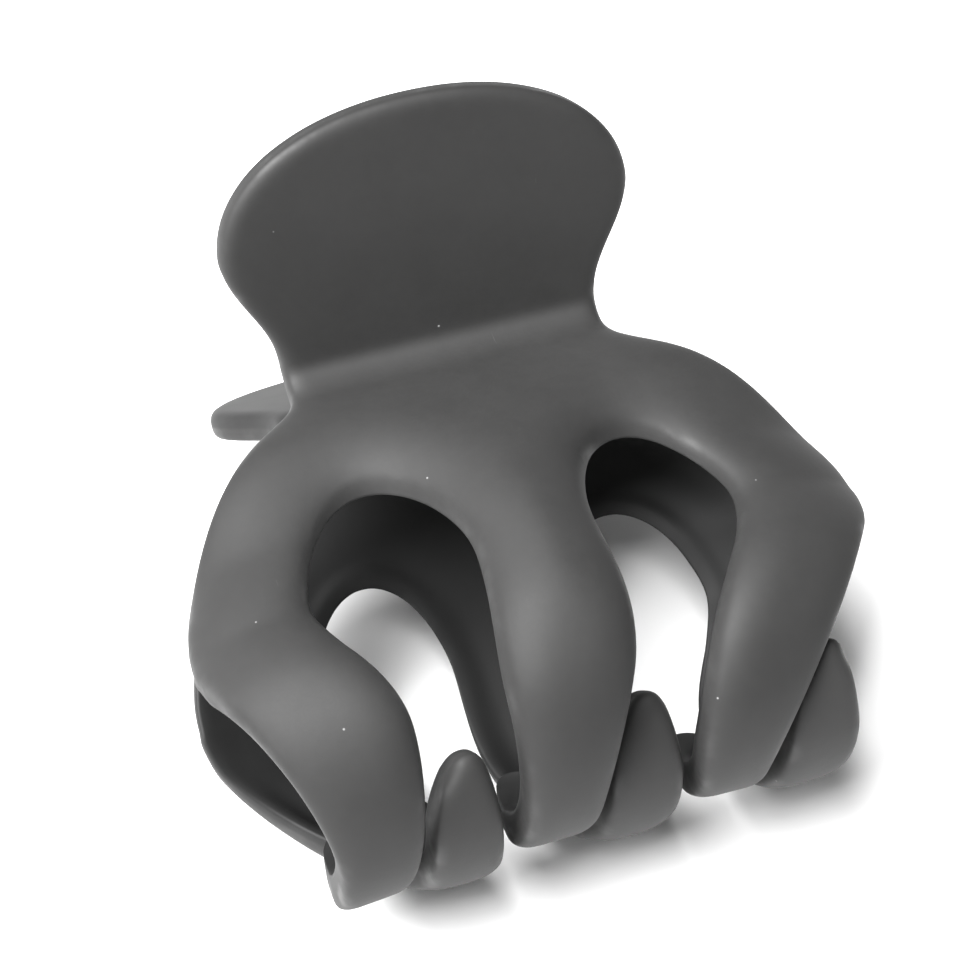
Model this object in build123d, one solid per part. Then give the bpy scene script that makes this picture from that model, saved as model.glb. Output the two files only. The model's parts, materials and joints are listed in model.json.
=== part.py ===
from build123d import *
import os
from math import acos, atan2, cos, degrees, hypot, pi, radians, sin, tan

# A claw clip for hair: two moulded jaws on a steel hinge pin, held shut by a torsion spring.
#
# Everything is drawn in a working frame first: X along the hinge pin, Y from the claws towards the
# thumb plates, Z up, with the pin's axis through the origin and the parting plane of the jaws level.
# At the end the clip is laid down: it tips until the lower thumb plate and the lower claws both
# touch the ground, and the origin moves to the middle of its footprint.
#
# A jaw is drawn along its spine, the line down the middle of its outside. Distances called s run
# along the spine from the crease, where the thumb plate meets the body, to the finger tips.

# ---------------------------------------------------------------- driving dimensions (mm, degrees)
# Spine of a jaw
crease_back = 6.5            # crease, behind the pin
crease_height = 4.0          # crease, above the parting plane
crease_radius = 2.2          # hollow bend on the outside of the crease
back_angle = 33.0            # slope of the body where it leaves the crease
back_radius = 72.0
back_length = 15.2
curl_radius = 11.6
curl_length = 19.7
tip_radius = 8.8
tip_length = 12.6

# Thumb plate
plate_angle = 54.0           # slope of the plate above the parting plane
plate_length = 16.5          # from the crease to the free edge
plate_width = 26.0
plate_shoulder = 8.3         # where the plate is widest, from the crease
plate_thickness = 2.0
plate_squareness = 2.6       # exponent of the free edge's outline, 2 is an ellipse
plate_rim_radius = 0.7

# Body and fingers
body_width = 41.2
waist_width = 20.4
widest_at = 12.6             # s where the body is widest
wall = 2.2
crown_radius = 38.5          # across the body
tip_crown_radius = 71.0      # across the finger tips, curved the other way
crown_run_in = 8.0           # length over which the crown grows from the flat crease
finger_pitch = 11.2
tip_side = 2.0               # outer edge of the outer fingers, from their centre line
side_run_out = 35.5          # s where the outer edges have become finger edges
tip_roundness = 0.44         # corner radius of a finger's end, as a share of its width

# Openings between the fingers, for the upper jaw: left, right
opening_widths = (8.5, 9.3)
opening_centres = (-8.8, 8.3)
opening_start = 10.5
opening_round = 7.4          # length of the rounded end
throat_tightness = 0.8       # how much a gap's throat is narrower than half the finger pitch
gap_throat_at = 29.6
tip_spare = 1.0              # how much a gap's mouth is wider, so that the other jaw's finger passes
gap_tip_at = 44.2
gap_run_out = 38.0           # s where the gaps have come onto the finger pitch

# Hinge
pin_diameter = 1.6
pin_running_clearance = 0.05
pin_proud = 0.6              # each end, outside the outer lugs
pin_end_chamfer = 0.2
lug_thickness = 1.9
lug_side_clearance = 0.3     # between an inner and an outer lug
outer_eye_wall = 1.2         # around the pin's bore
inner_eye_wall = 1.6
outer_lug_foot = 6.2         # end of the lug's foot on the plate, from the crease
inner_lug_foot = 6.0

# Spring
wire_diameter = 0.55
coil_pin_clearance = 0.45    # between the pin and the inside of the coil
coil_turn_gap = 0.03         # between two turns
coil_end_clearance = 0.68    # between the coil and an inner lug
coil_turns = 8
leg_reach = 12.3             # end of the leg on the plate, from the crease
leg_end_x = 1.6
leg_seat_gap = 0.02          # between the wire and the plate it bears on
bend_bulge = 1.06            # how much thicker the wire is where it is bent

# Nibs that guide the spring's legs, and grip pegs inside the fingers
nib_diameter = 1.0
nib_height = 1.7
nib_side_clearance = 0.28    # between a nib and the wire
nib_reach = 7.8              # from the crease
nib_x = 1.95                 # middle of the pair
leg_height_at_nib = 0.95     # centre of the wire above the plate
peg_base_diameter = 1.7
peg_tip_diameter = 0.7
peg_height = 2.6
peg_stations = (23.0, 33.5)

# How finely the curved shapes are drawn, and how far cuts run past what they cut
neck_sections = 5            # body sections from the crease to the widest place
finger_sections = 13         # from there to the finger tips
slot_sections = 12
outline_points = 12          # around each half of the plate's free edge
shoulder_points = 5
cut_past_inside = 4.0
cut_past_outside = 2.0
cut_past_tip = 1.0
same_place = 0.01

# ---------------------------------------------------------------- derived sizes
gap_throat = finger_pitch / 2 - throat_tightness
gap_tip = finger_pitch / 2 + tip_spare
tip_half_width = (finger_pitch - gap_tip) / 2
tip_corner = tip_roundness * (tip_half_width + min(tip_half_width, tip_side))
plate_sunk = plate_thickness / 2     # how deep lugs and nibs reach into the plate that they stand on
peg_sunk = wall / 2
finger_shift = finger_pitch / 4
finger_centres = [index * finger_pitch - finger_shift for index in (-1, 0, 1)]
gap_centres = [index * finger_pitch - finger_shift for index in (-0.5, 0.5)]
crease_turn = 180 - back_angle - plate_angle
crease_run = crease_radius / tan(radians(crease_turn / 2))
spine_length = crease_run + back_length + curl_length + tip_length
wire_radius = wire_diameter / 2
coil_radius = pin_diameter / 2 + coil_pin_clearance + wire_radius
coil_pitch = wire_diameter + coil_turn_gap
nib_spacing = nib_diameter + wire_diameter + 2 * nib_side_clearance


def along(angle):
    """Unit vector in the YZ plane, at an angle from +Y towards +Z."""
    return Vector(0, cos(radians(angle)), sin(radians(angle)))


def ease(value):
    """Smooth step from 0 to 1."""
    value = min(1.0, max(0.0, value))
    return value * value * (3 - 2 * value)


def blend(start, end, share):
    return start + (end - start) * share


# ---------------------------------------------------------------- spine, plate and section planes
crease = Vector(0, -crease_back, crease_height)
plate_plane = Plane(origin=crease, x_dir=(1, 0, 0), z_dir=along(plate_angle + 90))


def on_plate(x, reach, height):
    """A point above the plate's inner face, at a reach from the crease."""
    return plate_plane.origin + Vector(x, 0, 0) + along(plate_angle) * reach - plate_plane.z_dir * (
        plate_thickness + height)


# ---------------------------------------------------------------- hinge sizes that follow the coil
leg_guided = on_plate(nib_x, nib_reach, leg_height_at_nib)
leg_seated = on_plate(leg_end_x, leg_reach, wire_radius + leg_seat_gap)
leg_leaves = degrees(atan2(leg_guided.Z, leg_guided.Y) + acos(coil_radius / hypot(leg_guided.Y, leg_guided.Z)))
coil_length = coil_pitch * (coil_turns + (360 - 2 * leg_leaves) / 360)
inner_lug_centre = (coil_length + wire_diameter) / 2 + coil_end_clearance + lug_thickness / 2
outer_lug_centre = inner_lug_centre + lug_thickness + lug_side_clearance
pin_length = 2 * (outer_lug_centre + lug_thickness / 2 + pin_proud)


def spine_at(s):
    """Point on the spine at s, and the angle in which the spine runs there."""
    heading = 180 - back_angle
    point = crease + along(heading) * min(s, crease_run)
    left = max(0.0, s - crease_run)
    for radius, length in ((back_radius, back_length), (curl_radius, curl_length), (tip_radius, tip_length)):
        step = min(left, length)
        centre = point + along(heading + 90) * radius
        heading += degrees(step / radius)
        point = centre + along(heading - 90) * radius
        left -= step
    return point, heading


def section_plane(s):
    """Plane across the spine at s: x across the jaw, y out of the wall."""
    point, heading = spine_at(s)
    return Plane(origin=point, x_dir=(1, 0, 0), z_dir=along(heading))


def crown_at(s):
    """Fall of the outside towards the edges, as the factor of x squared."""
    body = ease((s - crease_run) / crown_run_in) / (2 * crown_radius)
    share = min(1.0, max(0.0, (s - crease_run - back_length) / (curl_length + tip_length)))
    return blend(body, -1 / (2 * tip_crown_radius), share)


# ---------------------------------------------------------------- outlines across the jaw, at s
def body_half_width(s):
    share = min(1.0, (s - crease_run) / (widest_at - crease_run))
    return blend(waist_width / 2, body_width / 2, sin(pi / 2 * share))


def side_edges(s):
    """The left and the right edge of the upper jaw."""
    share = ease((s - widest_at) / (side_run_out - widest_at))
    half = body_half_width(s)
    left = blend(-half, finger_centres[0] - tip_side, share)
    right = blend(half, finger_centres[2] + tip_side, share)
    return left, right


def gap_edges(index, s):
    """Both edges of opening 0 or 1, past its rounded end."""
    full = opening_widths[index] / 2
    round_end = opening_start + opening_round
    half = blend(full, gap_throat / 2, ease((s - round_end) / (gap_throat_at - round_end)))
    half = blend(half, gap_tip / 2, ease((s - gap_throat_at) / (gap_tip_at - gap_throat_at)))
    share = ease((s - opening_start) / (gap_run_out - opening_start))
    centre = blend(opening_centres[index], gap_centres[index], share)
    return centre - half, centre + half


# ---------------------------------------------------------------- jaw, without its lugs
def band_section(s):
    """The crowned wall across the jaw at s, from edge to edge."""
    left, right = side_edges(s)
    crown = crown_at(s)

    def arch(lowered):
        return [(left, -crown * left**2 - lowered),
                ((left + right) / 2, -crown * left * right - lowered),
                (right, -crown * right**2 - lowered)]

    outside = arch(0)
    inside = arch(wall)
    edges = [Bezier(*outside), Line(outside[2], inside[2]), Bezier(*inside[::-1]), Line(inside[0], outside[0])]
    return section_plane(s) * make_face(edges)


def opening_cutter(index):
    """What is cut away between two fingers: a round-ended prism and a tapering slot."""
    round_end = opening_start + opening_round
    depth_in = wall + cut_past_inside
    depth = depth_in + cut_past_outside
    faces = []
    for step in range(slot_sections + 1):
        s = blend(round_end, spine_length, step / slot_sections)
        past_tip = cut_past_tip if step == slot_sections else 0
        low, high = gap_edges(index, s + past_tip)
        middle = Pos((low + high) / 2, depth / 2 - depth_in, past_tip)
        faces.append(section_plane(s) * middle * Rectangle(high - low, depth))
    slot = loft(faces)
    low, high = gap_edges(index, round_end)
    end = Ellipse((high - low) / 2, opening_round)
    plane = section_plane(round_end)
    look_down = Plane(origin=plane.origin, x_dir=(1, 0, 0), z_dir=plane.y_dir)
    prism = look_down * Pos((low + high) / 2, 0, -depth_in) * extrude(end, depth)
    return slot + prism


def thumb_plate():
    """The flat plate that is pressed to open the clip, with a rounded rim."""
    half = plate_width / 2
    side = []
    for step in range(shoulder_points):
        share = step / shoulder_points
        reach = blend(crease_run, plate_shoulder, share)
        side.append((blend(waist_width / 2, half, ease(share)), reach))
    for step in range(outline_points):
        turn = radians(90 * step / outline_points)
        across = half * cos(turn) ** (2 / plate_squareness)
        reach = blend(plate_shoulder, plate_length, sin(turn) ** (2 / plate_squareness))
        side.append((across, reach))
    points = side + [(0, plate_length)] + [(-across, reach) for across, reach in reversed(side)]
    outline = make_face([Spline(*points), Line(points[-1], points[0])])
    plate = extrude(outline, -plate_thickness)
    rims = plate.edges().filter_by(lambda edge: edge.length > plate_width)
    return plate_plane * fillet(rims, plate_rim_radius)


def neck():
    """The bend that joins the plate to the body, hollow on the outside."""
    bend = radians(crease_turn / 2)
    bend_centre = crease + along(plate_angle + crease_turn / 2) * (crease_radius / sin(bend))
    plate_side = along(plate_angle - 90)
    body_side = along(180 - back_angle + 90)
    middle = along(plate_angle + crease_turn / 2 + 180)

    def arc(plate_depth, body_depth):
        depth = (plate_depth + body_depth) / 2
        return [bend_centre + plate_side * (crease_radius + plate_depth),
                bend_centre + middle * (crease_radius + depth),
                bend_centre + body_side * (crease_radius + body_depth)]

    outside = arc(0, 0)
    inside = arc(plate_thickness, wall)
    edges = [ThreePointArc(*outside), Line(outside[2], inside[2]), ThreePointArc(*inside[::-1]),
             Line(inside[0], outside[0])]
    profile = Pos(-waist_width / 2, 0, 0) * make_face(edges)
    return extrude(profile, waist_width, dir=(1, 0, 0))


def jaw_shell():
    """Thumb plate, crease, domed body and three fingers, for the upper jaw."""
    stations = [blend(crease_run, widest_at, step / neck_sections) for step in range(neck_sections)]
    stations += [blend(widest_at, spine_length, step / finger_sections) for step in range(finger_sections + 1)]
    body = loft([band_section(s) for s in stations])
    for index in (0, 1):
        body -= opening_cutter(index)
    tip, heading = spine_at(spine_length)
    tip_edges = [edge for edge in body.edges()
                 if abs((edge.center() - tip).dot(along(heading))) < same_place
                 and abs(edge.length - wall) < same_place]
    body = fillet(tip_edges, tip_corner)
    return body + neck() + thumb_plate()


# ---------------------------------------------------------------- what stands on the inside of a jaw
def lug(centre_x, bore_radius, eye_wall, foot):
    """Hinge lug: a flat plate from the thumb plate to a round eye about the pin."""
    root = on_plate(0, crease_run / 2, -plate_sunk)
    toe = on_plate(0, foot, -plate_sunk)
    eye = Pos(0, 0) * Circle(pin_diameter / 2 + eye_wall)
    outline = make_hull(eye.edges() + [Line((root.Y, root.Z), (toe.Y, toe.Z))])
    outline -= Circle(bore_radius)
    return Plane.YZ.offset(centre_x - lug_thickness / 2) * extrude(outline, lug_thickness)


def lugs(centre_x, bore_radius, eye_wall, foot):
    return lug(centre_x, bore_radius, eye_wall, foot) + lug(-centre_x, bore_radius, eye_wall, foot)


def nib(x):
    foot = on_plate(x, nib_reach, -plate_sunk)
    stem = Cylinder(nib_diameter / 2, nib_height + plate_sunk, align=(Align.CENTER, Align.CENTER, Align.MIN))
    stem = fillet(stem.edges().sort_by(Axis.Z)[-1], nib_diameter / 4)
    return Plane(origin=foot, x_dir=(1, 0, 0), z_dir=-plate_plane.z_dir) * stem


def finger_edges(index, s):
    left, right = side_edges(s)
    low_0, high_0 = gap_edges(0, s)
    low_1, high_1 = gap_edges(1, s)
    return ((left, low_0), (high_0, low_1), (high_1, right))[index]


def peg(index, s):
    """Grip peg inside finger 0, 1 or 2."""
    low, high = finger_edges(index, s)
    middle = (low + high) / 2
    plane = section_plane(s)
    fall = crown_at(s) * middle**2 + wall - peg_sunk
    foot = plane.origin + Vector(middle, 0, 0) - plane.y_dir * fall
    cone = Cone(peg_base_diameter / 2, peg_tip_diameter / 2, peg_height + peg_sunk,
                align=(Align.CENTER, Align.CENTER, Align.MIN))
    return Plane(origin=foot, x_dir=(1, 0, 0), z_dir=-plane.y_dir) * cone


def jaw_moulding():
    """All of a jaw but its lugs, as the upper jaw stands."""
    jaw = jaw_shell()
    for x in (nib_x - nib_spacing / 2, nib_x + nib_spacing / 2):
        jaw += nib(x)
    for index in range(3):
        for s in peg_stations:
            jaw += peg(index, s)
    return jaw


# ---------------------------------------------------------------- pin and spring
def hinge_pin():
    pin = Cylinder(pin_diameter / 2, pin_length)
    pin = chamfer(pin.edges().filter_by(GeomType.CIRCLE), pin_end_chamfer)
    return Rot(0, 90, 0) * pin


def rod(start, end, ball_radius):
    """A straight stretch of wire with a ball at its far end."""
    span = end - start
    straight = Cylinder(wire_radius, span.length, align=(Align.CENTER, Align.CENTER, Align.MIN))
    return Plane(origin=start, z_dir=span) * straight + Pos(*end) * Sphere(ball_radius)


def torsion_spring():
    """Coil about the pin, with one leg against each thumb plate."""
    path = Helix(coil_pitch, coil_length, coil_radius, center=(-coil_length / 2, 0, 0), direction=(1, 0, 0),
                 lefthand=True)
    first = path @ 0
    path = Rot(-leg_leaves - degrees(atan2(first.Z, first.Y)), 0, 0) * path
    section = Plane(origin=path @ 0, z_dir=path % 0) * Circle(wire_radius)
    coil = sweep(section, path=path, is_frenet=True)
    upper_end = path @ 1
    bend_radius = wire_radius * bend_bulge
    leg = Pos(*upper_end) * Sphere(bend_radius)
    leg += rod(upper_end, leg_guided, bend_radius) + rod(leg_guided, leg_seated, wire_radius)
    return coil + leg + Rot(0, 180, 0) * leg


# ---------------------------------------------------------------- assembly, laid down
def lay_down(nodes):
    """Tip the clip onto the lower plate and claws, and put the origin under its middle."""
    rim = crease + along(plate_angle) * plate_length
    start, heading = spine_at(crease_run + back_length)
    curl_centre = start + along(heading + 90) * curl_radius
    across = rim.Y - curl_centre.Y
    down = -rim.Z + curl_centre.Z
    tilt = degrees(atan2(across, down) - acos(-curl_radius / hypot(across, down)))
    height = rim.Z * cos(radians(tilt)) - rim.Y * sin(radians(tilt))
    laid = {name: Pos(0, 0, height) * Rot(tilt, 0, 0) * solid for name, solid in nodes.items()}
    box = Compound(list(laid.values())).bounding_box()
    shift = Pos(-box.center().X, -box.center().Y, -box.min.Z)
    return {name: shift * solid for name, solid in laid.items()}, tilt, height, box


moulding = jaw_moulding()
outer_bore = pin_diameter / 2 + pin_running_clearance
inner_bore = pin_diameter / 2
upper_jaw = moulding + lugs(outer_lug_centre, outer_bore, outer_eye_wall, outer_lug_foot)
lower_jaw = moulding + lugs(inner_lug_centre, inner_bore, inner_eye_wall, inner_lug_foot)
nodes = {
    "upper_jaw": upper_jaw,
    "lower_jaw": Rot(0, 180, 0) * lower_jaw,
    "hinge_pin": hinge_pin(),
    "torsion_spring": torsion_spring(),
}
placed, tilt, height, box = lay_down(nodes)

os.makedirs("parts", exist_ok=True)
for name, solid in placed.items():
    export_step(solid, f"parts/{name}.step")
    print(name, "solids", len(solid.solids()), "volume", round(solid.volume, 1), "valid", solid.is_valid)
print("tilt", round(tilt, 3), "pin height", round(height - box.min.Z, 3), "pin y", round(-box.center().Y, 3))
print("size", box.size)
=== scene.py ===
import json
from math import acos, asin, atan2, cos, degrees, hypot, pi, radians, sin, sqrt, tan

import bmesh
import bpy
from mathutils import Matrix, Vector
from mathutils.geometry import intersect_line_line_2d, intersect_point_line
from mathutils.kdtree import KDTree
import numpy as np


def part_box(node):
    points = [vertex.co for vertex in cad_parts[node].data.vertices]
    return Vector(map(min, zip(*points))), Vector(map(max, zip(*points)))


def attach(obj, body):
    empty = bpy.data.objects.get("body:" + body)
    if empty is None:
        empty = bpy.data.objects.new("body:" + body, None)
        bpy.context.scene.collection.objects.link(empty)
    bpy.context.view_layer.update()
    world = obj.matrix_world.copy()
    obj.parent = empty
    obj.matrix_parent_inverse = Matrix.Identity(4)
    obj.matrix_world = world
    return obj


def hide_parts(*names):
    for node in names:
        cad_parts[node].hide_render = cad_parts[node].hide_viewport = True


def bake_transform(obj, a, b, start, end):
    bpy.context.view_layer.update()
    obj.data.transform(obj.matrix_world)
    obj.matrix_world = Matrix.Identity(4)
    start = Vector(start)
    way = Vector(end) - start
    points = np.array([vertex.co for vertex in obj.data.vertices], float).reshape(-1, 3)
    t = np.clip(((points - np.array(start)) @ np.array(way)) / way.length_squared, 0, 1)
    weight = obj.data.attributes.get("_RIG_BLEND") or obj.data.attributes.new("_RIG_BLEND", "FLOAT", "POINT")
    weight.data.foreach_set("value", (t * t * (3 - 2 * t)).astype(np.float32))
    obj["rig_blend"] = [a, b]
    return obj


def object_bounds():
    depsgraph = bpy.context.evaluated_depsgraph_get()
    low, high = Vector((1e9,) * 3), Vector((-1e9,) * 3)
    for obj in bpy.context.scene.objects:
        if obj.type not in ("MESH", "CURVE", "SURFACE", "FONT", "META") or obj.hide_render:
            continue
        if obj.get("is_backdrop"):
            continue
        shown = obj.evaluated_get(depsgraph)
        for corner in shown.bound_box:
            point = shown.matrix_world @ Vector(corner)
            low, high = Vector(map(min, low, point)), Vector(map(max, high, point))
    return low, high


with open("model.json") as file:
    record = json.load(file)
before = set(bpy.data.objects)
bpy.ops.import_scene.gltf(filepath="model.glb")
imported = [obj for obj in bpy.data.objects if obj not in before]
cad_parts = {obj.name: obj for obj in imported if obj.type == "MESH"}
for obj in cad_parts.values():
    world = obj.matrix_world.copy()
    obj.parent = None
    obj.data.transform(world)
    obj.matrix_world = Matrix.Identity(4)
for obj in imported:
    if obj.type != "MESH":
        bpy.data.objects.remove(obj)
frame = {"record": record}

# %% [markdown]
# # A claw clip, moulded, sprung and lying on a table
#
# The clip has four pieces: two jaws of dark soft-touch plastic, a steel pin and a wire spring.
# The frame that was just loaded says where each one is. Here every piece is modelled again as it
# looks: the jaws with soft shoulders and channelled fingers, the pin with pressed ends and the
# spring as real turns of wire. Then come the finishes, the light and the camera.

cad_box = [list(corner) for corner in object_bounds()]
print("CAD box, mm:", [[round(value * 1000, 2) for value in corner] for corner in cad_box])

# %% [markdown]
# ## The working frame
#
# A clip is easiest to draw as its maker draws it: in millimetres, with the pin's axis through the
# origin, X along the pin, Y from the claws towards the thumb plates and Z up, and both jaws level.
# The clip on the table is tipped a little, because it rests on a plate and on its claws. One
# matrix carries everything there. It comes from the pin's box and from the way the upper thumb
# plate faces in the record, so nothing has to be fitted by eye.

# %% Sizes of the jaw's spine, in millimetres and degrees
crease_back = 6.5
crease_height = 4.0
crease_bends = ((1.2, 54.0), (3.0, 33.0))
spine_arcs = ((72.0, 11.64), (22.0, 7.0), (11.2, 16.01), (8.8, 12.6))
plate_angle = 54.0
plate_length = 16.5

# %% Where the working frame lies
def along(angle):
    """Unit vector in the plane across the pin, at an angle from +Y towards +Z."""
    return Vector((0, cos(radians(angle)), sin(radians(angle))))


pin_low, pin_high = (Vector(corner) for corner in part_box("hinge_pin"))
pin_centre = (pin_low + pin_high) / 2
plate_mount = next(mount for mount in frame["record"]["mounts"]
                   if mount["name"] == "upper_plate_face")
tilt = atan2(plate_mount["axis"][2], plate_mount["axis"][1]) - radians(plate_angle + 90)
laid = Matrix.Translation(pin_centre) @ Matrix.Rotation(tilt, 4, "X") @ Matrix.Scale(0.001, 4)
turned_over = Matrix.Rotation(pi, 4, "Y")
print("pin centre, mm:", [round(value * 1000, 3) for value in pin_centre],
      "tilt, degrees:", round(degrees(tilt), 2))

# %% [markdown]
# ## The jaw as a bent sheet
#
# A moulded jaw is a wall of even thickness, so it can be made like a sheet-metal part: a flat
# pattern is cut out first and then bent along the jaw's spine. The pattern has two coordinates,
# the distance across from the middle and `s`, the distance along the outside, which is 0 in the
# sharp corner that plate and body would make and grows down the body to the finger tips. The
# corner itself is bent in two arcs, a tight one beside the plate and a gentle one beside the body,
# which leaves the pale band that catches the light. Four more arcs lead on to the finger tips: a
# nearly flat one, one that eases in, and two tight ones that curl the fingers. `outside` walks
# along all of them and says where the sheet's middle line is, and which way the outside faces.

# %% The line down the middle of the outside
def tangent_lengths(bends):
    """How far the two arcs of a bend reach along the straight lines that they join."""
    (first_radius, first_turn), (last_radius, last_turn) = bends
    first = first_radius * tan(radians(first_turn / 2))
    last = last_radius * tan(radians(last_turn / 2))
    share = (first + last) / sin(radians(first_turn + last_turn))
    return first + share * sin(radians(last_turn)), last + share * sin(radians(first_turn))


crease = Vector((0, -crease_back, crease_height))
plate_start, body_start = tangent_lengths(crease_bends)
bend_arcs = [(-radius, radius * radians(turn)) for radius, turn in crease_bends]
bend_start = body_start - sum(length for radius, length in bend_arcs)
spine_length = body_start + sum(length for radius, length in spine_arcs)


def outside(s):
    """The middle of the outside at s, and the angle in which it faces."""
    point = crease + along(plate_angle) * plate_start
    heading = plate_angle + 180
    if s < bend_start:
        return point + along(heading) * (s - bend_start), heading - 90
    left = s - bend_start
    for radius, length in (*bend_arcs, *spine_arcs):
        step = min(left, length)
        centre = point + along(heading + 90) * radius
        heading += degrees(step / radius)
        point = centre + along(heading - 90) * radius
        left -= step
    return point, heading - 90


tip_point, tip_facing = outside(spine_length)
print("bend from", round(bend_start, 2), "to", round(body_start, 2),
      "mm, tips at", round(spine_length, 2))
print("finger tips at", [round(value, 2) for value in tip_point], "facing", round(tip_facing, 1))

# %% [markdown]
# ## The outline of the pattern
#
# Four things shape the outline: the plate with its squarish free edge, the waist, the wide body
# that narrows to three fingers, and the two openings between them. Smooth steps join one width to
# the next, because a mould maker leaves no corner that would be a weak place or feel sharp. The two
# openings start on rounded arches of slightly different sizes, and the fingers end in short tips
# that narrow and lean to one side. `parting` is the distance s from which the pattern is divided
# into fingers and openings. The sides of the arches stand on it and their tops rise above it.

# %% Sizes of the outline, in millimetres
plate_width = 26.0
plate_shoulder = 8.3
plate_squareness = 2.1
body_width = 41.2
waist_width = 20.4
widest_at = 16.0
flare_power = 0.8
side_shift = 0.25
crown_radius = 38.5
tip_crown_radius = 71.0
crown_run_in = 10.0
crown_run_out = 17.3
finger_pitch = 11.2
tip_side = 2.0
side_run_in = 17.5
side_run_out = 39.5
opening_widths = (9.8, 9.2)
opening_centres = (-8.9, 7.8)
opening_rounds = (8.7, 8.0)
opening_round_end = 17.9
parting = 12.0
gap_throats = (5.4, 4.8)
throat_centres = (0.75, 0.0)
gap_throat_at = 28.4
gap_tip = 6.6
gap_tip_at = 44.2
gap_run_in = 15.5
gap_run_out = 38.0
tip_start_before_end = 5.4
tip_lengths = (5.4, 5.2, 4.6)
tip_squareness = 2.5
tip_taper = 0.32
tip_lean = 0.6
waist_softness = 0.55
mould_point = 0.1
mould_point_at = 17.8
mould_point_length = 0.8

# %% Smooth steps and the crown across the jaw
def ease(value):
    """Smooth step from 0 to 1."""
    value = min(1.0, max(0.0, value))
    return value * value * (3 - 2 * value)


def mix(start, end, share):
    """The value at a share of the way from start to end."""
    return start + (end - start) * share


def crown_at(s):
    """Fall of the outside towards the edges, as the factor of the squared distance across."""
    body = ease((s - body_start) / crown_run_in) / (2 * crown_radius)
    share = (s - crown_run_out) / (spine_length - crown_run_out)
    return mix(body, -1 / (2 * tip_crown_radius), min(1.0, max(0.0, share)))


tip_start = spine_length - tip_start_before_end

# %% Edges of the body, of the plate and of the openings
def sharp_half_width(s):
    """Half the width of the plate or the body, with a corner at the waist."""
    if s < body_start:
        rise = ease((bend_start - s) / (plate_shoulder - plate_start))
        return mix(waist_width / 2, plate_width / 2, rise)
    rise = sin(pi / 2 * min(1, (s - body_start) / (widest_at - body_start)) ** flare_power)
    return mix(waist_width / 2, body_width / 2, rise)


def half_width(s):
    """Half the width with the waist's corner softened, by a mean over a short stretch."""
    return sum(sharp_half_width(s + step * waist_softness) for step in (-2, -1, 0, 1, 2)) / 5


finger_shift = finger_pitch / 4


def side_edges(s):
    """Left and right edge of the upper jaw, with the small point where the mould's halves met."""
    share = ease((s - side_run_in) / (side_run_out - side_run_in))
    point = mould_point * max(0.0, 1 - abs(s - mould_point_at) / mould_point_length)
    shift = side_shift * ease((s - body_start) / (widest_at - body_start))
    left = mix(-half_width(s) - shift - point, -finger_pitch - finger_shift - tip_side, share)
    right = mix(half_width(s) - shift + point, finger_pitch - finger_shift + tip_side, share)
    return left, right


def gap_edges(index, s):
    """Both edges of opening 0 or 1, which starts as half of an ellipse."""
    to_throat = ease((s - gap_run_in) / (gap_throat_at - gap_run_in))
    to_tip = ease((s - gap_throat_at) / (gap_tip_at - gap_throat_at))
    half = mix(mix(opening_widths[index], gap_throats[index], to_throat), gap_tip, to_tip) / 2
    half *= sqrt(1 - min(1.0, max(0.0, opening_round_end - s) / opening_rounds[index]) ** 2)
    share = ease((s - gap_run_in) / (gap_run_out - gap_run_in))
    middle = mix(opening_centres[index], (index - 0.5) * finger_pitch - finger_shift, share)
    middle += throat_centres[index] * to_throat * (1 - to_tip)
    return middle - half, middle + half


def lanes(s):
    """The six lines between fingers and openings, past the parting."""
    left, right = side_edges(s)
    return [left, *gap_edges(0, s), *gap_edges(1, s), right]


lane_shares = [lane / half_width(parting) for lane in lanes(parting)]
lane_shares[0], lane_shares[-1] = -1.0, 1.0
print("widest, mm:", round(2 * half_width(mould_point_at), 2),
      "lanes at", [round(share, 2) for share in lane_shares])

# %% [markdown]
# ## Laying a grid over the pattern
#
# One grid covers the whole jaw. Its columns run from the plate's free edge to the finger tips in
# five lanes: finger, opening, finger, opening, finger. Above an opening the columns end on its
# rounded arch, as combed hair parts round an ear, so every edge of the jaw follows edges of the
# mesh and can be rolled over cleanly. At the plate's free edge and at the finger tips a square
# patch is pressed into a half round, which keeps all faces four-sided.

# %% How many cells each part of the grid has
finger_cells = 12
gap_cells = 16
lane_cells = (finger_cells, gap_cells, finger_cells, gap_cells, finger_cells)
columns = sum(lane_cells)
zone_rows = {"free edge": 12, "plate": 10, "crease": 9, "body": 20, "fingers": 50, "tips": 8}
rows = sum(zone_rows.values())
edge_density = 0.6


def denser_at_edges(share):
    """A share from 0 to 1, moved so that even steps crowd towards both ends."""
    return share - edge_density * sin(2 * pi * share) / (2 * pi)


def lane_of(column):
    """The lane that a column belongs to, and its share of the way across."""
    for lane, cells in enumerate(lane_cells):
        if column <= cells:
            break
        column -= cells
    share = column / cells
    if lane % 2 and share == 1:
        return lane + 1, 0.0
    return lane, share if lane % 2 else denser_at_edges(share)


def zone_of(row):
    """The zone that a row belongs to, and its share of the way through."""
    for zone, count in zone_rows.items():
        if row <= count:
            return zone, row / count
        row -= count
    return zone, 1.0


print("grid:", columns, "columns by", rows, "rows")

# %% Where a grid point lies on the pattern
def half_round(u, v):
    """Presses the square -1..1 by 0..1 into a half disc of radius 1."""
    return u * sqrt(1 - v * v / 2), v * sqrt(1 - u * u / 2)


def squared_up(x, y, squareness):
    """Swells a disc towards a square with rounded corners."""
    radius = hypot(x, y)
    if radius == 0:
        return x, y
    swell = (abs(x / radius) ** squareness + abs(y / radius) ** squareness) ** (-1 / squareness)
    return x * swell, y * swell


def plate_s(reach):
    """The distance s of a place on the plate, from its reach."""
    return bend_start + plate_start - reach


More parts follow.
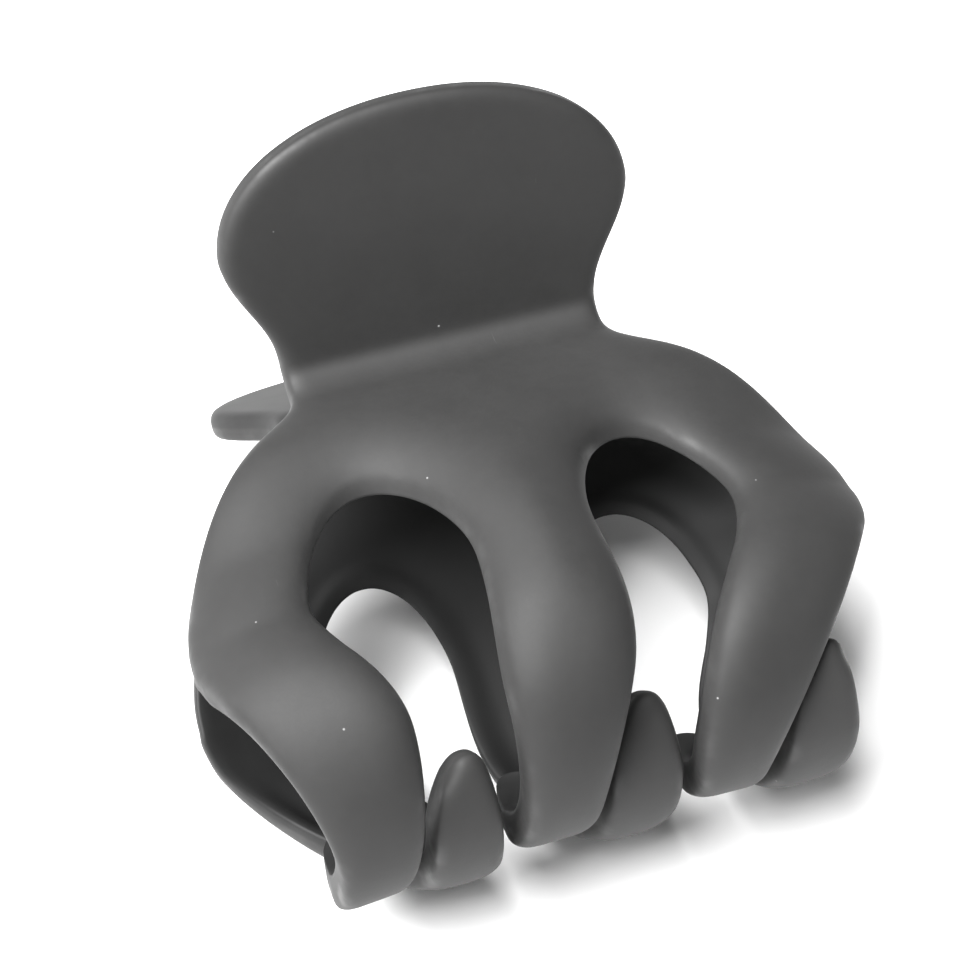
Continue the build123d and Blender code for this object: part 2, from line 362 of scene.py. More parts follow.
def even_lane(index, s):
    """A line between lanes where no opening parts them: a share of the width."""
    drawn = lanes(parting)[index] - lane_shares[index] * half_width(parting)
    return lane_shares[index] * half_width(s) + drawn * ease((s - body_start) / (parting - body_start))


def pattern(column, row):
    """Distances across and along of a grid point."""
    lane, across = lane_of(column)
    zone, share = zone_of(row)
    if zone in ("free edge", "plate", "crease"):
        u = mix(lane_shares[lane], lane_shares[lane + 1], across)
    if zone == "free edge":
        x, y = squared_up(*half_round(u, cos(pi / 2 * share)), plate_squareness)
        return x * plate_width / 2, plate_s(plate_shoulder + y * (plate_length - plate_shoulder))
    if zone in ("plate", "crease"):
        ends = (plate_s(plate_shoulder), bend_start, body_start)
        s = mix(*(ends[:2] if zone == "plate" else ends[1:]), share)
        return u * half_width(s), s
    if zone == "body":
        if lane % 2 == 0:
            s = mix(body_start, parting, share)
            left, right = (side_edges(s)[0] if lane == 0 else even_lane(lane, s),
                           side_edges(s)[1] if lane == 4 else even_lane(lane + 1, s))
            return mix(left, right, across), s
        round_length = opening_rounds[lane // 2]
        start = asin((opening_round_end - parting) / round_length)
        turn = mix(start, pi - start, across)
        arch_s = opening_round_end - round_length * sin(turn)
        arch = gap_edges(lane // 2, arch_s)[0 if across < 0.5 else 1]
        low, high = even_lane(lane, arch_s), even_lane(lane + 1, arch_s)
        across = mix(across, (arch - low) / (high - low), ease(share))
        s = mix(body_start, arch_s, share)
        return mix(even_lane(lane, s), even_lane(lane + 1, s), across), s
    if zone == "fingers":
        s = mix(parting, tip_start, share)
        return mix(*lanes(s)[lane:lane + 2], across), s
    low, high = lanes(tip_start)[lane:lane + 2]
    x, y = squared_up(*half_round(2 * across - 1, sin(pi / 2 * share)), tip_squareness)
    half = (high - low) / 2 * (1 - tip_taper * y)
    return (low + high) / 2 + half * x - tip_lean * y * y, tip_start + tip_lengths[lane // 2] * y


print("first and last row:", pattern(0, 0), pattern(columns, rows))

# %% [markdown]
# ## Cutting the pattern
#
# `create_grid` gives a square grid. Each point is moved to its place on the pattern, and the cells
# that lie in an opening are deleted. Each point also remembers how far it is from the nearest cut
# edge. That one number later rolls the shoulders, thins the wall and places the wear.

# %% Distances to the cut edges
def keep_distances(bm, name, rim_verts):
    """Stores every point's distance to the cut edges through some points."""
    layer = bm.verts.layers.float[name]
    tree = KDTree(len(rim_verts))
    for index, vert in enumerate(rim_verts):
        tree.insert(vert.co, index)
    tree.balance()
    for vert in bm.verts:
        best = spine_length
        for _, index, _ in tree.find_n(vert.co, 3):
            for edge in rim_verts[index].link_edges:
                if edge.is_boundary:
                    start, end = (corner.co for corner in edge.verts)
                    foot, share = intersect_point_line(vert.co, start, end)
                    foot = start if share < 0 else end if share > 1 else foot
                    best = min(best, (vert.co - foot).length)
        vert[layer] = best


# %% Make the flat pattern
def flat_pattern():
    """The jaw's flat pattern, with each point's place and its distances to the cut edges in layers."""
    bm = bmesh.new()
    place = bm.verts.layers.float_vector.new("place")
    for name in ("side", "gap", "edge", "inner"):
        bm.verts.layers.float.new(name)
    bmesh.ops.create_grid(bm, x_segments=columns, y_segments=rows, size=1)
    cell = Vector((2 / columns, 2 / rows))
    first_open = rows - zone_rows["fingers"] - zone_rows["tips"]
    in_gap = [face for face in bm.faces
              if lane_of((face.calc_center_median().x + 1) / cell.x)[0] % 2
              and (face.calc_center_median().y + 1) / cell.y > first_open]
    bmesh.ops.delete(bm, geom=in_gap, context="FACES")
    sides, gaps = [], []
    for vert in bm.verts:
        column, row = (round((vert.co[axis] + 1) / cell[axis]) for axis in (0, 1))
        vert.co = (*pattern(column, row), 0)
        vert[place] = vert.co
        if vert.is_boundary:
            (sides if column in (0, columns) or row == 0 else gaps).append(vert)
    keep_distances(bm, "side", sides)
    keep_distances(bm, "gap", gaps)
    return bm


sheet = flat_pattern()
print("pattern:", len(sheet.faces), "faces,", len(sheet.verts), "points")
sheet.free()

# %% [markdown]
# ## Rolling the edges and giving the wall its thickness
#
# The pattern is extruded once without moving it, which gives two skins joined by a rim. Then each
# skin gets its depth below the outside. The outer skin rolls down in a quarter ellipse near every
# edge, so a finger is round like a tube. The inner skin keeps a thick rim and is hollowed between
# the rims, as a mould maker cores out a thick part so that it cools evenly. At the finger tips the
# rims run together into a small solid bead.

# %% Depths and widths of the rolled edges, in millimetres
plate_thickness = 2.0
plate_roll = (0.95, 0.62)
side_roll = (3.0, 1.0)
arch_roll = (5.0, 2.3)
finger_roll = (3.1, 1.6)
tip_roll = (1.0, 0.6)
wall = 2.2
rim_depth = 2.35
dome_wall = 2.0
cored_wall = 1.45
rim_width = 0.8
rim_slope = 1.0
bead_length = 4.2
bead_run_in = 2.1
bead_width = 2.4
body_roll_from = -0.5
body_roll_run_in = 5.0


def mix_rolls(first, last, share):
    return tuple(mix(start, end, share) for start, end in zip(first, last))


def quarter_round(edge, roll):
    """Fall of a rounded edge, of some width and depth, at a distance from it."""
    width, depth = roll
    share = 1 - min(1.0, edge / width)
    return depth * (1 - sqrt(1 - share * share))


def body_share(s):
    """0 on the plate, 1 on the body, and a smooth step past the crease."""
    return ease((s - body_roll_from) / body_roll_run_in)


def outer_depth(side, gap, s):
    """How far the outer skin lies below the sheet."""
    body = body_share(s)
    narrow = ease((s - opening_round_end) / (gap_throat_at - opening_round_end))
    tip = ease((s - gap_throat_at) / (tip_start - gap_throat_at))
    fingers = mix_rolls(mix_rolls(arch_roll, finger_roll, narrow), tip_roll, tip)
    sides = mix_rolls(mix_rolls(plate_roll, side_roll, body), tip_roll, tip)
    return quarter_round(side, sides) + quarter_round(gap, fingers)


def inner_depth(side, gap, s):
    """How far the inner skin lies below the sheet."""
    edge = min(side, gap)
    body = body_share(s)
    narrow = ease((s - opening_round_end) / (gap_throat_at - opening_round_end))
    solid = ease((s - spine_length + bead_length) / bead_run_in)
    core = mix(dome_wall, cored_wall, narrow)
    rim = mix(rim_width, bead_width, solid)
    hollow = mix(rim_depth, core, ease((edge - rim) / rim_slope))
    return mix(plate_thickness - quarter_round(edge, plate_roll), hollow, body)


def bent(across, s, depth):
    """A place on the pattern, bent along the spine and sunk below the outside."""
    middle, facing = outside(s)
    return middle + Vector((across, 0, 0)) - along(facing) * (crown_at(s) * across * across + depth)


# %% Bend the shell
def jaw_shell():
    """The wall of a jaw as a closed shell, in the working frame."""
    bm = flat_pattern()
    made = bmesh.ops.extrude_face_region(bm, geom=list(bm.faces))["geom"]
    inside = {item for item in made if isinstance(item, bmesh.types.BMVert)}
    place = bm.verts.layers.float_vector["place"]
    names = ("side", "gap", "edge", "inner")
    side, gap, edge, inner = (bm.verts.layers.float[name] for name in names)
    for vert in bm.verts:
        across, s = vert[place].xy
        depth = inner_depth if vert in inside else outer_depth
        vert.co = bent(across, s, depth(vert[side], vert[gap], s))
        vert[inner] = float(vert in inside)
        vert[edge] = min(vert[side], vert[gap])
    bmesh.ops.recalc_face_normals(bm, faces=bm.faces)
    return bm


shell = jaw_shell()
open_edges = sum(1 for item in shell.edges if not item.is_manifold)
print("shell:", len(shell.faces), "faces, open edges", open_edges,
      "volume", round(shell.calc_volume(), 0), "mm3")
shell.free()

# %% [markdown]
# ## What stands on the inside of a jaw
#
# The lugs carry the pin. Each is the hull of a round eye and of a foot on the thumb plate. A ring
# of radial faces between the bore and the outline bevels and smooths well, so the lug is made from
# two circles: the inner one is the bore, and each point of the outer one is pushed out to the hull.
# The nibs that guide the spring's legs and the grip pegs inside the fingers are turned shapes: a
# profile of a few points, spun round its axis, with a small flare where it grows out of the wall.

# %% Sizes of the lugs, nibs and pegs, in millimetres
pin_diameter = 1.6
pin_running_clearance = 0.05
pin_proud = 0.6
lug_thickness = 1.9
lug_side_clearance = 0.3
lug_points = 56
lug_round = 0.3
lug_round_steps = 3
sharp_corner = 60.0
outer_eye_wall = 1.2
inner_eye_wall = 1.6
outer_lug_foot = 6.2
inner_lug_foot = 6.0
wire_diameter = 0.55
coil_pin_clearance = 0.45
coil_turn_gap = 0.03
coil_end_clearance = 0.68
coil_turns = 8
leg_reach = 12.3
leg_end_x = 1.6
leg_seat_gap = 0.02
nib_diameter = 1.0
nib_tip_radius = nib_diameter / 2.2
nib_height = 1.7
nib_flare = 0.22
nib_sides = 20
nib_side_clearance = 0.28
nib_reach = 7.8
nib_x = 1.95
leg_height_at_nib = 0.95
peg_base_diameter = 1.7
peg_tip_diameter = 0.75
peg_height = 2.6
peg_flare = 0.35
peg_foot_inset = 0.15
peg_sides = 18
peg_stations = (23.0, 33.5)

# %% Places that follow from the spring
def on_plate(x, reach, height):
    """A point above the plate's inner face, at a reach from the crease."""
    sunk = plate_thickness + height
    return crease + Vector((x, 0, 0)) + along(plate_angle) * reach - along(plate_angle + 90) * sunk


wire_radius = wire_diameter / 2
coil_radius = pin_diameter / 2 + coil_pin_clearance + wire_radius
leg_guided = on_plate(nib_x, nib_reach, leg_height_at_nib)
leg_seated = on_plate(leg_end_x, leg_reach, wire_radius + leg_seat_gap)
leg_leaves = degrees(atan2(leg_guided.z, leg_guided.y) + acos(coil_radius / hypot(*leg_guided.yz)))
turns = coil_turns + (360 - 2 * leg_leaves) / 360
coil_length = (wire_diameter + coil_turn_gap) * turns
inner_lug_centre = (coil_length + wire_diameter) / 2 + coil_end_clearance + lug_thickness / 2
outer_lug_centre = inner_lug_centre + lug_thickness + lug_side_clearance
nib_spacing = nib_diameter + wire_diameter + 2 * nib_side_clearance
pin_length = 2 * (outer_lug_centre + lug_thickness / 2 + pin_proud)
print("coil length", round(coil_length, 2), "pin length", round(pin_length, 2),
      "CAD pin", round((pin_high.x - pin_low.x) * 1000, 2))

# %% Helpers that turn a profile and that add one mesh to another
def turned(profile, steps, matrix):
    """Spins a profile of (radius, height) points round its axis, and puts it in place."""
    bm = bmesh.new()
    verts = [bm.verts.new((radius, 0, height)) for radius, height in profile]
    edges = [bm.edges.new(pair) for pair in zip(verts, verts[1:])]
    bmesh.ops.spin(bm, geom=verts + edges, cent=(0, 0, 0), axis=(0, 0, 1), angle=2 * pi,
                   steps=steps, use_merge=True)
    bmesh.ops.remove_doubles(bm, verts=bm.verts, dist=1e-4)
    bmesh.ops.recalc_face_normals(bm, faces=bm.faces)
    bmesh.ops.transform(bm, matrix=matrix, verts=bm.verts)
    return bm


def add_to(bm, part, inner=1.0, edge=9.0):
    """Adds a finished part to a mesh, with its finish values, and frees it."""
    for name, value in (("inner", inner), ("edge", edge)):
        layer = part.verts.layers.float.get(name) or part.verts.layers.float.new(name)
        for vert in part.verts:
            vert[layer] = value
    mesh = bpy.data.meshes.new("part")
    part.to_mesh(mesh)
    part.free()
    bm.from_mesh(mesh)
    bpy.data.meshes.remove(mesh)


def standing(foot, facing):
    """Matrix that stands a turned shape on a foot, with its axis facing an angle."""
    return Matrix.Translation(foot) @ Matrix.Rotation(radians(facing - 90), 4, "X")


# %% The lugs
def lug_reach(angle, eye_radius, feet):
    """How far a lug reaches from the pin in a direction, out to the hull of its eye and its feet."""
    sides = []
    for foot, turn in zip(feet, (1, -1)):
        touch = atan2(foot.z, foot.y) + turn * acos(eye_radius / hypot(*foot.yz))
        sides.append((Vector((cos(touch), sin(touch))) * eye_radius, foot.yz))
    sides.append((feet[0].yz, feet[1].yz))
    ray = Vector((cos(angle), sin(angle)))
    hits = [intersect_line_line_2d(ray * eye_radius / 2, ray * plate_length, *side)
            for side in sides]
    return max([hit.length for hit in hits if hit] + [eye_radius])


def lug(centre_x, bore_radius, eye_wall, foot):
    """One hinge lug, with its bore, standing on the thumb plate."""
    bm = bmesh.new()
    rings = [bmesh.ops.create_circle(bm, segments=lug_points, radius=radius)["verts"]
             for radius in (bore_radius, bore_radius + eye_wall)]
    feet = [on_plate(0, reach, -plate_thickness / 2) for reach in (plate_start, foot)]
    for vert in rings[1]:
        angle = atan2(vert.co.y, vert.co.x)
        reach = lug_reach(angle, pin_diameter / 2 + eye_wall, feet)
        vert.co = (reach * cos(angle), reach * sin(angle), 0)
    bmesh.ops.bridge_loops(bm, edges=list(bm.edges))
    made = bmesh.ops.extrude_face_region(bm, geom=list(bm.faces))["geom"]
    raised = [item for item in made if isinstance(item, bmesh.types.BMVert)]
    bmesh.ops.translate(bm, vec=(0, 0, lug_thickness), verts=raised)
    bmesh.ops.recalc_face_normals(bm, faces=bm.faces)
    corners = [edge for edge in bm.edges if edge.calc_face_angle(0) > radians(sharp_corner)]
    bmesh.ops.bevel(bm, geom=corners, offset=lug_round, offset_type="OFFSET",
                    segments=lug_round_steps, profile=0.5, affect="EDGES", material=-1,
                    clamp_overlap=True)
    across = Matrix(((0, 0, 1), (1, 0, 0), (0, 1, 0))).to_4x4()
    matrix = Matrix.Translation((centre_x - lug_thickness / 2, 0, 0)) @ across
    bmesh.ops.transform(bm, matrix=matrix, verts=bm.verts)
    return bm


# %% Nibs and pegs
def rounded_profile(foot_radius, tip_radius, height, sunk, flare):
    """Profile of a peg: flared at the foot, tapering, with a round tip."""
    tip = [(tip_radius * cos(radians(angle)), height - tip_radius + tip_radius * sin(radians(angle)))
           for angle in (0, 18, 36, 54, 72)]
    foot = [(0, -sunk), (foot_radius + flare, -sunk), (foot_radius + flare, -flare / 2)]
    foot += [(foot_radius + flare * (1 - sin(radians(angle))), flare * (1 - cos(radians(angle))))
             for angle in (30, 60, 90)]
    return foot + tip + [(0, height)]


def nibs():
    """The pair of nibs on each side of the spring's leg."""
    profile = rounded_profile(nib_diameter / 2, nib_tip_radius, nib_height, plate_thickness / 2,
                              nib_flare)
    for side in (-1, 1):
        foot = on_plate(nib_x + side * nib_spacing / 2, nib_reach, 0)
        yield turned(profile, nib_sides, standing(foot, plate_angle - 90))


def pegs():
    """Two grip pegs on the inside of each finger."""
    profile = rounded_profile(peg_base_diameter / 2 - peg_foot_inset, peg_tip_diameter / 2,
                              peg_height, wall / 3, peg_flare)
    for s in peg_stations:
        edges = lanes(s)
        for lane in (0, 2, 4):
            middle = (edges[lane] + edges[lane + 1]) / 2
            facing = outside(s)[1]
            foot = bent(middle, s, cored_wall)
            yield turned(profile, peg_sides, standing(foot, facing + 180))


# %% [markdown]
# ## The two jaws
#
# Both jaws come out of the same mould but for the inserts that form the lugs. The lower jaw is the
# same shape turned over about the clip's long axis, which puts its fingers beside the upper ones,
# so that they pass when the clip closes. The shell, lugs, nibs and pegs are one object. One level of
# subdivision rounds every edge that the grid already follows.

# %% Materials are filled in below, one for each finish
finish_names = ("jaw_plastic", "pin_steel", "spring_wire")
finishes = {name: bpy.data.materials.new(name) for name in finish_names}


def make_piece(name, bm, matrix, finish, levels):
    """Turns a finished mesh into an object of the clip, in its place and smooth."""
    bmesh.ops.transform(bm, matrix=matrix, verts=bm.verts)
    mesh = bpy.data.meshes.new(name)
    bm.to_mesh(mesh)
    bm.free()
    mesh.shade_smooth()
    mesh.materials.append(finishes[finish])
    piece = bpy.data.objects.new(name, mesh)
    bpy.context.scene.collection.objects.link(piece)
    if levels:
        smooth = piece.modifiers.new("smooth", "SUBSURF")
        smooth.levels = smooth.render_levels = levels
    print(name, len(mesh.polygons), "faces before smoothing")
    return piece


def make_jaw(name, matrix, lug_centre, bore_radius, eye_wall, foot):
    """A whole jaw, riding on its own body and standing for its CAD node."""
    bm = jaw_shell()
    lugs = [lug(side * lug_centre, bore_radius, eye_wall, foot) for side in (-1, 1)]
    for part in (*lugs, *nibs(), *pegs()):
        add_to(bm, part, edge=1.5)
    piece = make_piece(f"{name}_moulding", bm, matrix, "jaw_plastic", 1)
    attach(piece, name)
    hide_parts(name)


outer_bore = pin_diameter / 2 + pin_running_clearance
make_jaw("upper_jaw", laid, outer_lug_centre, outer_bore, outer_eye_wall, outer_lug_foot)
make_jaw("lower_jaw", laid @ turned_over, inner_lug_centre, pin_diameter / 2, inner_eye_wall,
         inner_lug_foot)

# %% [markdown]
# ## The hinge pin
#
# The pin is a short length of steel rod, cropped and pressed in. Cropping leaves a slightly domed
# end with a turned-over edge. A turned profile gives exactly that.

# %% Turn the pin
pin_sides = 40
pin_edge_round = 0.2
pin_edge_fall = 0.06
pin_dome = ((0.6, 0.02), (0.3, 0.005), (0.0, 0.0))


def pin_end(radius, half):
    """Profile of one end, from the side of the pin to its axis."""
    middle = (radius - pin_edge_round, half - pin_edge_round - pin_edge_fall)
    rolled = [(middle[0] + pin_edge_round * cos(radians(angle)),
               middle[1] + pin_edge_round * sin(radians(angle)))
              for angle in (0, 15, 30, 45, 60, 75, 90)]
    return rolled + [(radius * share, half - fall) for share, fall in pin_dome]


end = pin_end(pin_diameter / 2, pin_length / 2)
side = [(pin_diameter / 2, pin_length / 2 * share)
        for share in (-0.9, -0.6, -0.2, 0.2, 0.6, 0.9)]
pin_profile = [(radius, -height) for radius, height in reversed(end)] + side + end
pin_mesh = turned(pin_profile, pin_sides, Matrix.Rotation(pi / 2, 4, "Y"))
pin = make_piece("steel_pin", pin_mesh, laid, "pin_steel", 0)
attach(pin, "lower_jaw")
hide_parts("hinge_pin")

# %% [markdown]
# ## The torsion spring
#
# Spring wire is wound cold on a mandrel. `spin` does the same with a ring of points: each step
# turns it about the pin and moves it along by its share of the pitch. The legs go on from the last
# turn: the ring is extruded from frame to frame, straight where the wire is straight and in small
# turns where it is bent, so the wire keeps its thickness. Each leg passes between two nibs and
# bears on a thumb plate. When the clip opens, one end of the spring follows the lower jaw and the
# other the upper jaw, with the twist spread between them.

# %% Wind the coil
wire_sides = 14
steps_a_turn = 36
bend_radius = 1.4
bend_steps = 6
wire_end_share = 0.6


def wire_ring(bm, centre, radial, axial):
    """A ring of wire across a radial and an axial direction."""
    ring = bmesh.ops.create_circle(bm, segments=wire_sides, radius=wire_radius)["verts"]
    across = Matrix((radial, axial, radial.cross(axial))).transposed().to_4x4()
    bmesh.ops.transform(bm, matrix=Matrix.Translation(centre) @ across, verts=ring)
    return ring


def coil():
    """The wound part of the spring, open at both ends."""
    bm = bmesh.new()
    radial = along(-leg_leaves)
    starts = radial * coil_radius - Vector((coil_length / 2, 0, 0))
    ring = wire_ring(bm, starts, radial, Vector((1, 0, 0)))
    steps = round(turns * steps_a_turn)
    bmesh.ops.spin(bm, geom=ring + list(bm.edges), cent=(0, 0, 0), axis=(1, 0, 0),
                   dvec=(coil_length / steps, 0, 0), angle=-radians(turns * 360), steps=steps)
    return bm


# %% Draw out a leg
def wire_frames(points):
    """Points and directions along a wire that runs straight between rounded bends."""
    frames = [(points[0], (points[1] - points[0]).normalized())]
    for before, corner, after in zip(points, points[1:], points[2:]):
        first = (corner - before).normalized()
        last = (after - corner).normalized()
        cut = bend_radius * tan(first.angle(last) / 2)
        for step in range(bend_steps + 1):
            share = step / bend_steps
            start = corner - first * cut * (1 - share)
            place = start.lerp(corner + last * cut * share, share)
            frames.append((place, first.lerp(last, share).normalized()))
    frames.append((points[-1], (points[-1] - points[-2]).normalized()))
    return frames


def leg():
    """One leg of the spring, from the coil's end to its tip on the thumb plate."""
    bm = bmesh.new()
    radial = along(leg_leaves)
    leaves = radial * coil_radius + Vector((coil_length / 2, 0, 0))
    verts = wire_ring(bm, leaves, radial, Vector((1, 0, 0)))
    edges = list(bm.edges)
    here = (leaves, along(leg_leaves - 90))
    frames = wire_frames([leaves, leg_guided, leg_seated])
    tip, direction = frames[-1]
    frames[-1] = (tip - direction * wire_radius / 2, direction)
    for point, direction in frames[1:] + [(tip, direction)]:
        made = bmesh.ops.extrude_edge_only(bm, edges=edges)["geom"]
        verts = [item for item in made if isinstance(item, bmesh.types.BMVert)]
        edges = [item for item in made if isinstance(item, bmesh.types.BMEdge)]
        turn = here[1].rotation_difference(direction).to_matrix().to_4x4()
        size = Matrix.Scale(wire_end_share if point == tip else 1, 4)
        move = Matrix.Translation(point) @ turn @ size @ Matrix.Translation(-here[0])
        bmesh.ops.transform(bm, matrix=move, verts=verts)
        here = (point, direction)
    bmesh.ops.contextual_create(bm, geom=edges)
    return bm


# %% Put the spring together
wire = coil()
for matrix in (Matrix.Identity(4), turned_over):
    part = leg()
    bmesh.ops.transform(part, matrix=matrix, verts=part.verts)
    add_to(wire, part)
bmesh.ops.remove_doubles(wire, verts=wire.verts, dist=0.01)
bmesh.ops.recalc_face_normals(wire, faces=wire.faces)
print("wire: open edges", sum(1 for item in wire.edges if not item.is_manifold),
      "volume", round(wire.calc_volume(), 2), "mm3")
spring = make_piece("wound_spring", wire, laid, "spring_wire", 1)
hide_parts("torsion_spring")
across_coil = Vector((0.002, 0, 0.001))
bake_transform(spring, "lower_jaw", "upper_jaw", start=pin_centre - across_coil, end=pin_centre + across_coil)

# %% [markdown]
# ## Writing finishes as sums
#
# A finish is easier to read as a formula than as a picture of wires. `Shade` wraps one output of a
# node. Arithmetic on it adds Math nodes, and its method `node` adds a node of any kind.

# %% A socket with arithmetic
class Shade:
    """One output socket of a material's nodes."""

    def __init__(self, tree, socket=None):
        self.tree = tree
        self.socket = socket

    def node(self, kind, inputs, output=0, **settings):
        """Adds a node: its settings first, then the values or links of its sockets."""
        made = self.tree.nodes.new(kind)
        for name, value in settings.items():
            setattr(made, name, value)
        for name, value in inputs.items():
            if isinstance(value, Shade):
                self.tree.links.new(value.socket, made.inputs[name])
            else:
                made.inputs[name].default_value = value
        return Shade(self.tree, made.outputs[output])

    def math(self, operation, *values):
        return self.node("ShaderNodeMath", dict(enumerate(values)), operation=operation)

    def __add__(self, other):
        return self.math("ADD", self, other)

    def __sub__(self, other):
        return self.math("SUBTRACT", self, other)

    def __mul__(self, other):
        return self.math("MULTIPLY", self, other)

    def __rsub__(self, other):
        return self.math("SUBTRACT", other, self)

    __radd__ = __add__
    __rmul__ = __mul__

    def between(self, low, high):
        """0 below low, 1 above high, and a smooth step between."""
        inputs = {"Value": self, "From Min": low, "From Max": high}
        return self.node("ShaderNodeMapRange", inputs, interpolation_type="SMOOTHSTEP")

    def tint(self, start, end):
        """A colour mixed from two, with this value as the share of the second."""
        inputs = {0: self, 6: start, 7: end}
        return self.node("ShaderNodeMix", inputs, output=2, data_type="RGBA")


# %% Textures that several finishes use
def begin(name):
    """Turns on a material's nodes, and gives its place on the piece and its final shader."""
    material = finishes[name]
    material.use_nodes = True
    tree = material.node_tree
    shader = tree.nodes["Principled BSDF"]
    place = Shade(tree).node("ShaderNodeTexCoord", {}, output="Object")
    return Shade(tree), place, shader


def noise(place, scale, detail=2.0, roughness=0.5):
    """Cloudy values about 0.5, with features about 1 / scale metres across."""
    inputs = {"Vector": place, "Scale": scale, "Detail": detail, "Roughness": roughness}
    return place.node("ShaderNodeTexNoise", inputs, normalize=True)


def stretched(place, scale, turn):
    """The same place, turned and then stretched along one axis."""
    return place.node("ShaderNodeMapping", {"Vector": place, "Scale": scale, "Rotation": turn})


def connect(shader, inputs):
    """Links the values that vary over the surface to the final shader."""
    for name, value in inputs.items():
        value.tree.links.new(value.socket, shader.inputs[name])


def grey(value, warmth=0.0):
    """A near-neutral colour."""
    return (value * (1 + warmth), value, value * (1 - warmth), 1)


# %% [markdown]
# ## Soft-touch plastic
#
# The jaws are black plastic under a rubbery matt coat. The rough coat spreads the light widely, so
# the plastic looks dark grey, not black. The inside was never coated: it is darker, only a little
# smoother, and shows faint flow marks. The coat has a fine grain, a slow mottle, polished rims where
# fingers and hair rub it, a few pale scuffs and some specks of dust. Two numbers that each point of
# the mesh carries, `inner` and `edge`, say where the coat ends and how near the rim is.

# %% Finish of the jaws
def finish_jaws():
    nodes, place, shader = begin("jaw_plastic")
    inner = nodes.node("ShaderNodeAttribute", {}, output="Fac", attribute_name="inner")
    inner = inner.between(0.35, 0.75)
    edge = nodes.node("ShaderNodeAttribute", {}, output="Fac", attribute_name="edge")
    mottle = noise(place, 140, 4, 0.6)
    grain = noise(place, 7000, 3, 0.65)
    peel = noise(place, 1400, 2)
    flow = noise(stretched(place, (260, 60, 260), (0.3, 0.2, 0.1)), 1.0, 4)
    rubbed = (1 - edge.between(0.05, 0.9)) * noise(place, 420, 3).between(0.42, 0.7)
    scratch = noise(stretched(place, (5200, 260, 900), (0.5, 0.3, 0.9)), 1.0, 3).between(0.72, 0.78)
    scuff = scratch * noise(place, 210, 2).between(0.55, 0.68)
    cells = {"Vector": place, "Scale": 420.0, "Randomness": 1.0}
    near = nodes.node("ShaderNodeTexVoronoi", cells, output="Distance")
    cell_colour = nodes.node("ShaderNodeTexVoronoi", cells, output="Color")
    pick = nodes.node("ShaderNodeSeparateColor", {"Color": cell_colour})
    dust = (1 - near.between(0.015, 0.04)) * pick.between(0.66, 0.8) * (1 - inner) * 0.7
    coat = (mottle * 0.5 + peel * 0.2 + grain * 0.3).tint(grey(0.012, 0.01), grey(0.028, 0.01))
    bare = flow.tint(grey(0.008), grey(0.015))
    colour = inner.node("ShaderNodeMix", {0: inner, 6: coat, 7: bare}, output=2, data_type="RGBA")
    colour = nodes.node("ShaderNodeMix", {0: rubbed * 0.06 + scuff * 0.3, 6: colour, 7: grey(0.12)},
                        output=2, data_type="RGBA")
    colour = nodes.node("ShaderNodeMix", {0: dust, 6: colour, 7: grey(0.3)}, output=2,
                        data_type="RGBA")
    coat_rough = 0.52 + mottle * 0.18 + grain * 0.1 - rubbed * 0.18
    bare_rough = 0.56 + flow * 0.14
    rough = coat_rough * (1 - inner) + bare_rough * inner + dust * 0.3
    height = grain * (0.5 - 0.42 * inner) + peel * 0.8 + dust * 2.0 - scuff * 0.6
    relief = {"Height": height, "Strength": 0.35, "Distance": 0.00002}
    bump = nodes.node("ShaderNodeBump", relief, output="Normal")
    connect(shader, {"Base Color": colour, "Roughness": rough, "Normal": bump})
    shader.inputs["Specular IOR Level"].default_value = 0.4
    print("jaw finish:", len(nodes.tree.nodes), "nodes")


finish_jaws()

# %% [markdown]
# ## Steel
#
# The pin and the spring are plain steel wire: mid grey, finely drawn along its length, a little
# dull where oil has dried, with faint brown in patches. The pin's drawn lines follow its length, the
# X axis. On the spring such lines would have to follow the turns, so a fine noise breaks up its
# shine instead.

# %% Finish of the pin and the spring
def finish_steel(name, colour, line_scale, rough):
    nodes, place, shader = begin(name)
    lines = noise(stretched(place, line_scale, (0, 0, 0)), 1.0, 3, 0.6)
    dull = noise(place, 900, 3, 0.6)
    stain = noise(place, 2300, 2).between(0.6, 0.8)
    steel = dull.tint(colour, tuple(channel * 0.72 for channel in colour[:3]) + (1,))
    steel = nodes.node("ShaderNodeMix", {0: stain * 0.4, 6: steel, 7: (0.16, 0.11, 0.07, 1)}, output=2,
                       data_type="RGBA")
    relief = {"Height": lines + dull * 0.5, "Strength": 0.3, "Distance": 0.00001}
    bump = nodes.node("ShaderNodeBump", relief, output="Normal")
    varied = rough + lines * 0.14 + stain * 0.25
    connect(shader, {"Base Color": steel, "Roughness": varied, "Normal": bump})
    shader.inputs["Metallic"].default_value = 1.0
    print(name, len(nodes.tree.nodes), "nodes")


finish_steel("pin_steel", (0.38, 0.375, 0.36, 1), (400, 9000, 9000), 0.3)
finish_steel("spring_wire", (0.34, 0.335, 0.325, 1), (5000, 5000, 5000), 0.3)

# %% [markdown]
# ## Table, light and camera
#
# The clip lies on a plain white sheet in a dim white room, under one broad soft light, high up on
# the left. A matt black object needs no more: the sheet throws light back up into the fingers, and
# the shadows stay short and soft. The camera looks down on the claws from the front left, from a
# hand's length away. From here on places and sizes are in metres, only the lens is in millimetres.

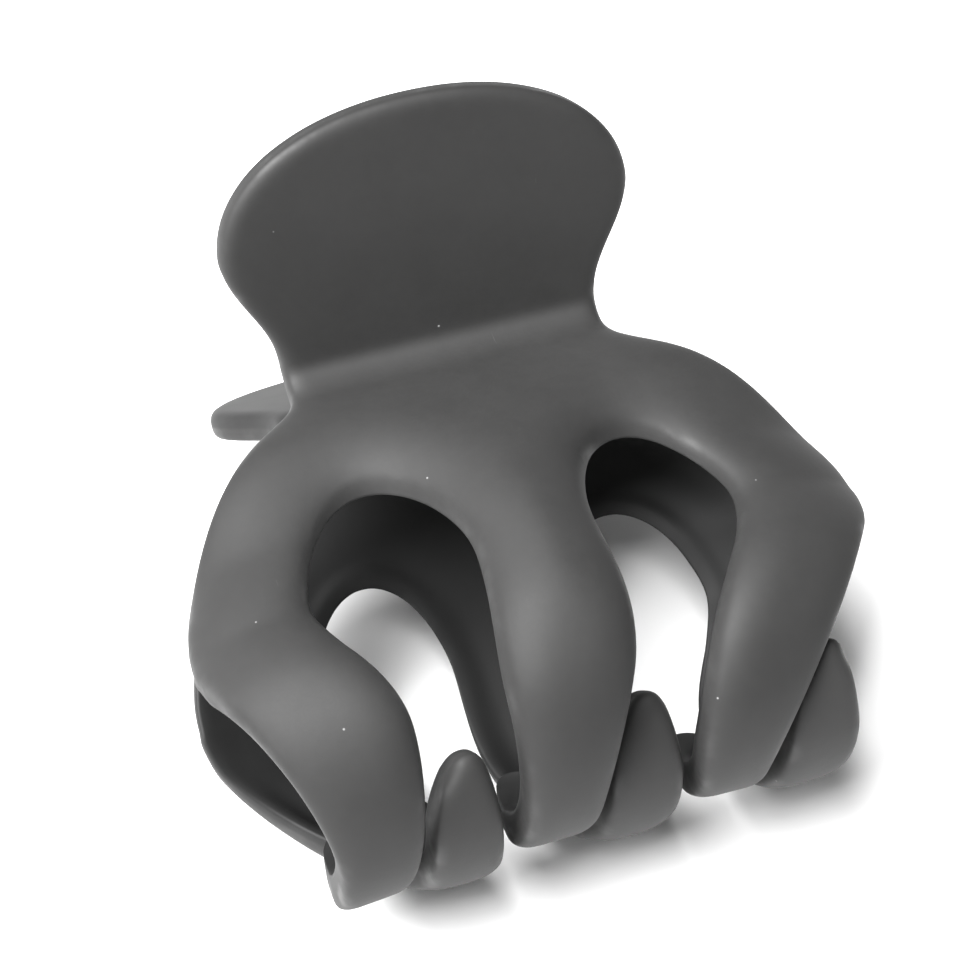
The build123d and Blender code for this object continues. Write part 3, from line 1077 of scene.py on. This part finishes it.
# %% Table
table_reach = 1.5
sheet_white = (0.86, 0.86, 0.86, 1)
sheet_roughness = 0.8
table = bmesh.new()
bmesh.ops.create_grid(table, x_segments=1, y_segments=1, size=table_reach)
table_mesh = bpy.data.meshes.new("table")
table.to_mesh(table_mesh)
table.free()
table_object = bpy.data.objects.new("table", table_mesh)
bpy.context.scene.collection.objects.link(table_object)
paper = bpy.data.materials.new("white_sheet")
paper.use_nodes = True
paper_shader = paper.node_tree.nodes["Principled BSDF"]
paper_shader.inputs["Base Color"].default_value = sheet_white
paper_shader.inputs["Roughness"].default_value = sheet_roughness
table_mesh.materials.append(paper)
table_object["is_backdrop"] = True

# %% Light
light_place = (-0.3, 0.0, 0.55)
light_size = 0.45
light_watts = 16.0
room_strength = 0.22


def soft_light(name, place, size, power):
    """A square area light that faces the clip."""
    light = bpy.data.lights.new(name, "AREA")
    light.size = size
    light.energy = power
    lamp = bpy.data.objects.new(name, light)
    lamp.location = place
    lamp.rotation_euler = (-Vector(place)).to_track_quat("-Z", "Y").to_euler()
    bpy.context.scene.collection.objects.link(lamp)


soft_light("overhead", light_place, light_size, light_watts)
world = bpy.data.worlds.new("room")
world.use_nodes = True
background = world.node_tree.nodes["Background"]
background.inputs["Color"].default_value = (1, 1, 1, 1)
background.inputs["Strength"].default_value = room_strength
bpy.context.scene.world = world
bpy.context.scene.view_settings.view_transform = "Standard"

# %% Camera, which keeps its roll while it is turned to aim at the clip
lens = 92
low, high = (Vector(corner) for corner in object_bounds())
middle = (low + high) / 2
camera_place = Vector((-0.0367, -0.0789, 0.1384))
camera_level = Vector((0.1885, 0.6283, -0.7547))
aim = Vector((0.0, middle.y + 0.001, middle.z * 0.9))
camera_data = bpy.data.cameras.new("camera")
camera_data.sensor_width = 36
camera_data.lens = lens
camera_data.clip_start = 0.005
camera = bpy.data.objects.new("camera", camera_data)
camera.location = camera_place
swing = camera_level.rotation_difference(aim - camera_place)
camera.rotation_euler = (swing @ camera_level.to_track_quat("-Z", "Y")).to_euler()
bpy.context.scene.collection.objects.link(camera)
bpy.context.scene.camera = camera
print("camera looks from", [round(value * 1000) for value in camera_place], "mm")

# %% Print the sizes of what is seen, and finish
visual_box = [list(corner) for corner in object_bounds()]
print("visual box, mm:", [[round(value * 1000, 2) for value in corner] for corner in visual_box])
